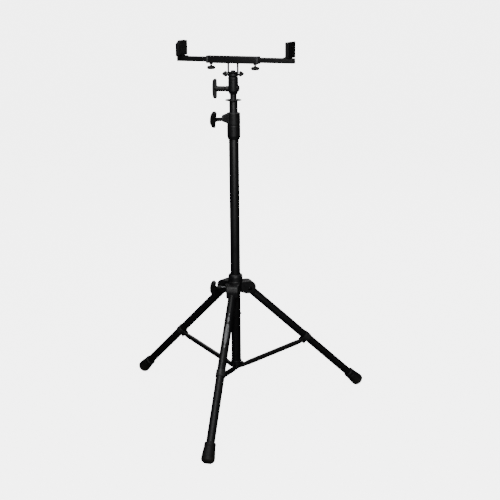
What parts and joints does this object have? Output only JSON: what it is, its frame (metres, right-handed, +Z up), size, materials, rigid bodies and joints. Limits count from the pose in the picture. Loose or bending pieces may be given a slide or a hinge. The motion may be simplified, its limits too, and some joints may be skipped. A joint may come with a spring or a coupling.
{
  "type": "tripod hunting stand",
  "caption": "Black folding tripod stand with a sliding hub, braced legs, an extending mast and a swivelling cradle bar with sliding upright pads.",
  "frame": {"origin": "on the floor, under the middle of the bounding box of the three feet; the mast stands 122.2 mm behind it in +Y", "axes": "+Z up along the mast, -Y towards the front leg, +X to the right; the cradle bar is swivelled 12 degrees clockwise from +X, seen from above"},
  "size_m": [0.8958, 0.7813, 1.316],
  "materials": {
    "black_tube": "semi-gloss black powder coat",
    "black_cast": "satin black textured coat on castings",
    "black_plastic": "moulded black nylon",
    "rubber": "matt black rubber",
    "grey_plastic": "mid grey nylon",
    "steel": "zinc plated steel",
    "dark_steel": "blackened steel"
  },
  "bodies": {
    "mast": {"main_tube": "black_tube", "stop_rivet": "dark_steel", "upper_collar": "black_cast", "collar_bush": "grey_plastic", "lower_bracket": "black_cast"},
    "collar_knob": {"collar_knob": "black_plastic", "collar_screw": "steel"},
    "hub": {"hub": "black_cast", "hub_bush": "grey_plastic", "leg_pin_front": "dark_steel", "leg_pin_right": "dark_steel", "leg_pin_left": "dark_steel"},
    "hub_knob": {"hub_knob": "black_plastic", "hub_screw": "steel"},
    "leg_front": {"leg_tube_front": "black_tube", "leg_plug_front": "black_plastic", "foot_front": "rubber", "saddle_front": "black_cast", "saddle_pin_front": "dark_steel"},
    "brace_front": {"brace_front": "black_tube"},
    "leg_right": {"leg_tube_right": "black_tube", "leg_plug_right": "black_plastic", "foot_right": "rubber", "saddle_right": "black_cast", "saddle_pin_right": "dark_steel"},
    "brace_right": {"brace_right": "black_tube"},
    "leg_left": {"leg_tube_left": "black_tube", "leg_plug_left": "black_plastic", "foot_left": "rubber", "saddle_left": "black_cast", "saddle_pin_left": "dark_steel"},
    "brace_left": {"brace_left": "black_tube"},
    "inner_mast": {"inner_tube": "black_tube", "inner_guide": "grey_plastic", "post": "black_cast"},
    "adapter": {"adapter_sleeve": "black_cast", "swivel_bolt": "steel"},
    "adapter_knob": {"adapter_knob": "black_plastic", "adapter_screw": "steel"},
    "wing_nut": {"wing_nut": "black_cast"},
    "head": {"swivel_stirrup": "dark_steel", "crossbar_sleeve": "black_tube", "end_bush_left": "grey_plastic", "end_bush_right": "grey_plastic", "screw_nut_left": "black_cast", "screw_nut_right": "black_cast"},
    "thumbscrew_left": {"thumbscrew_left": "dark_steel"},
    "arm_left": {"arm_bar_left": "black_tube", "bar_cap_left": "black_plastic", "upright_left": "black_cast", "pad_left": "rubber"},
    "thumbscrew_right": {"thumbscrew_right": "dark_steel"},
    "arm_right": {"arm_bar_right": "black_tube", "bar_cap_right": "black_plastic", "upright_right": "black_cast", "pad_right": "rubber"}
  },
  "joints": [
    {"name": "hub_slide", "type": "slide", "parent": "mast", "child": "hub", "axis": [0, 0, 1], "range_m": [0, 0.2585]},
    {"name": "leg_front_fold", "type": "hinge", "parent": "hub", "child": "leg_front", "pos_m": [0, 0.07492, 0.4435], "axis": [1, 0, 0], "range_deg": [0, 40.35]},
    {"name": "brace_front_fold", "type": "hinge", "parent": "leg_front", "child": "brace_front", "pos_m": [0, -0.13854, 0.20946], "axis": [-1, 0, 0], "range_deg": [0, 108.04]},
    {"name": "leg_right_fold", "type": "hinge", "parent": "hub", "child": "leg_right", "pos_m": [0.04096, 0.14587, 0.4435], "axis": [-0.5, 0.866, 0], "range_deg": [0, 40.35]},
    {"name": "brace_right_fold", "type": "hinge", "parent": "leg_right", "child": "brace_right", "pos_m": [0.22583, 0.2526, 0.20946], "axis": [0.5, -0.866, 0], "range_deg": [0, 108.04]},
    {"name": "leg_left_fold", "type": "hinge", "parent": "hub", "child": "leg_left", "pos_m": [-0.04096, 0.14587, 0.4435], "axis": [-0.5, -0.866, 0], "range_deg": [0, 40.35]},
    {"name": "brace_left_fold", "type": "hinge", "parent": "leg_left", "child": "brace_left", "pos_m": [-0.22583, 0.2526, 0.20946], "axis": [0.5, 0.866, 0], "range_deg": [0, 108.04]},
    {"name": "mast_slide", "type": "slide", "parent": "mast", "child": "inner_mast", "axis": [0, 0, 1], "range_m": [-0.033, 0.44]},
    {"name": "adapter_turn", "type": "hinge", "parent": "inner_mast", "child": "adapter", "pos_m": [0, 0.12222, 1.137], "axis": [0, 0, 1], "continuous": true},
    {"name": "head_swivel", "type": "hinge", "parent": "adapter", "child": "head", "pos_m": [0, 0.12222, 1.2095], "axis": [0, 0, 1], "continuous": true},
    {"name": "arm_left_slide", "type": "slide", "parent": "head", "child": "arm_left", "axis": [-0.9781, 0.2079, 0], "range_m": [-0.028, 0.04]},
    {"name": "thumbscrew_left_turn", "type": "hinge", "parent": "head", "child": "thumbscrew_left", "pos_m": [-0.07923, 0.13906, 1.241], "axis": [0, 0, 1], "continuous": true},
    {"name": "arm_right_slide", "type": "slide", "parent": "head", "child": "arm_right", "axis": [0.9781, -0.2079, 0], "range_m": [-0.028, 0.04]},
    {"name": "thumbscrew_right_turn", "type": "hinge", "parent": "head", "child": "thumbscrew_right", "pos_m": [0.07923, 0.10538, 1.241], "axis": [0, 0, 1], "continuous": true},
    {"name": "hub_knob_turn", "type": "hinge", "parent": "hub", "child": "hub_knob", "pos_m": [0, 0.12222, 0.4525], "axis": [-0.866, -0.5, 0], "continuous": true},
    {"name": "collar_knob_turn", "type": "hinge", "parent": "mast", "child": "collar_knob", "pos_m": [0, 0.12222, 1.054], "axis": [-0.866, -0.5, 0], "continuous": true},
    {"name": "adapter_knob_turn", "type": "hinge", "parent": "adapter", "child": "adapter_knob", "pos_m": [0, 0.12222, 1.1555], "axis": [-1, 0, 0], "continuous": true},
    {"name": "wing_nut_turn", "type": "hinge", "parent": "adapter", "child": "wing_nut", "pos_m": [0, 0.12222, 1.196], "axis": [0, 0, 1], "continuous": true}
  ],
  "couplings": [
    {"joint": "leg_front_fold", "follows": "hub_slide", "rad_per_m": 2.7243},
    {"joint": "brace_front_fold", "follows": "hub_slide", "rad_per_m": 7.2946},
    {"joint": "leg_right_fold", "follows": "hub_slide", "rad_per_m": 2.7243},
    {"joint": "brace_right_fold", "follows": "hub_slide", "rad_per_m": 7.2946},
    {"joint": "leg_left_fold", "follows": "hub_slide", "rad_per_m": 2.7243},
    {"joint": "brace_left_fold", "follows": "hub_slide", "rad_per_m": 7.2946}
  ]
}
